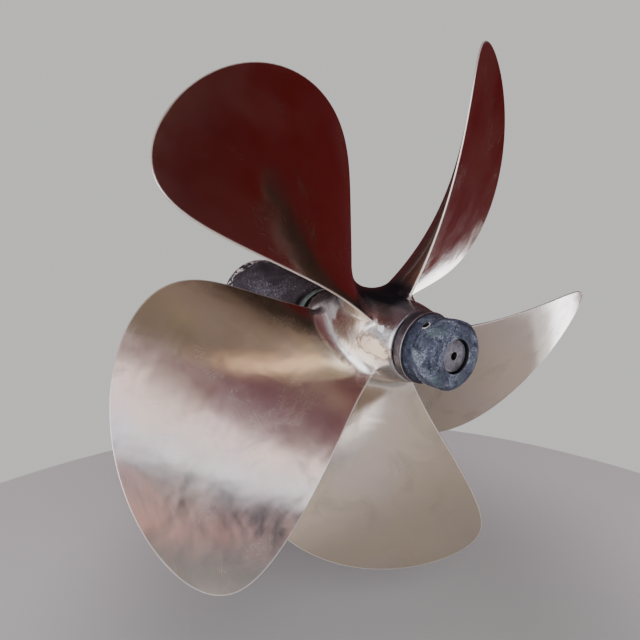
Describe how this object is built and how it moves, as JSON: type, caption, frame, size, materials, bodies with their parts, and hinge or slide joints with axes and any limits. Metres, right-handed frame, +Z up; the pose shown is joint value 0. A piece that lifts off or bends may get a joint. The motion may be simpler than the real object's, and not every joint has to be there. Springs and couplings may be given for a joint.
{
  "type": "ship propeller with stern boss",
  "caption": "Right-handed fixed-pitch ship propeller with blades cast on its hub, nut and zinc anode, turning on a shaft end in a conical stern boss.",
  "frame": {"origin": "on the stern boss's flat forward ring face, straight above the shaft, midway between the bearing's bore and the boss's outside", "axes": "+Y along the shaft towards the ship's bow, +Z up, +X to starboard"},
  "size_m": [0.9686, 0.6551, 0.9615],
  "materials": {
    "polished_bronze": "nickel aluminium bronze, ground and polished, with fine random sanding scratches",
    "brown_bronze": "brown weathered bronze with a bright edge",
    "bearing_bronze": "turned bronze",
    "patinated_bronze": "bronze with green-grey patina",
    "zinc": "mottled blue-grey weathered zinc with pale salts and pits",
    "shaft_steel": "stained steel",
    "screw_steel": "plain steel",
    "rubber": "black rubber",
    "boss_paint": "matt purple-grey paint with pale flakes"
  },
  "bodies": {
    "stern_gear": {"stern_boss": "boss_paint", "bearing_shell": "bearing_bronze", "bearing_lining": "rubber", "boss_gasket": "rubber", "retaining_ring": "patinated_bronze", "ring_screw_1": "screw_steel", "ring_screw_2": "screw_steel", "ring_screw_3": "screw_steel", "ring_screw_4": "screw_steel", "ring_screw_5": "screw_steel", "ring_screw_6": "screw_steel"},
    "rotor": {"propeller": "polished_bronze", "propeller_shaft": "shaft_steel", "forward_seal": "rubber", "aft_seal": "rubber", "propeller_nut": "brown_bronze", "anode": "zinc", "anode_screw_1": "screw_steel", "anode_screw_2": "screw_steel", "anode_screw_3": "screw_steel"}
  },
  "joints": [
    {"name": "shaft_spin", "type": "hinge", "parent": "stern_gear", "child": "rotor", "pos_m": [0, -0.45, -0.076], "axis": [0, 1, 0], "continuous": true}
  ]
}
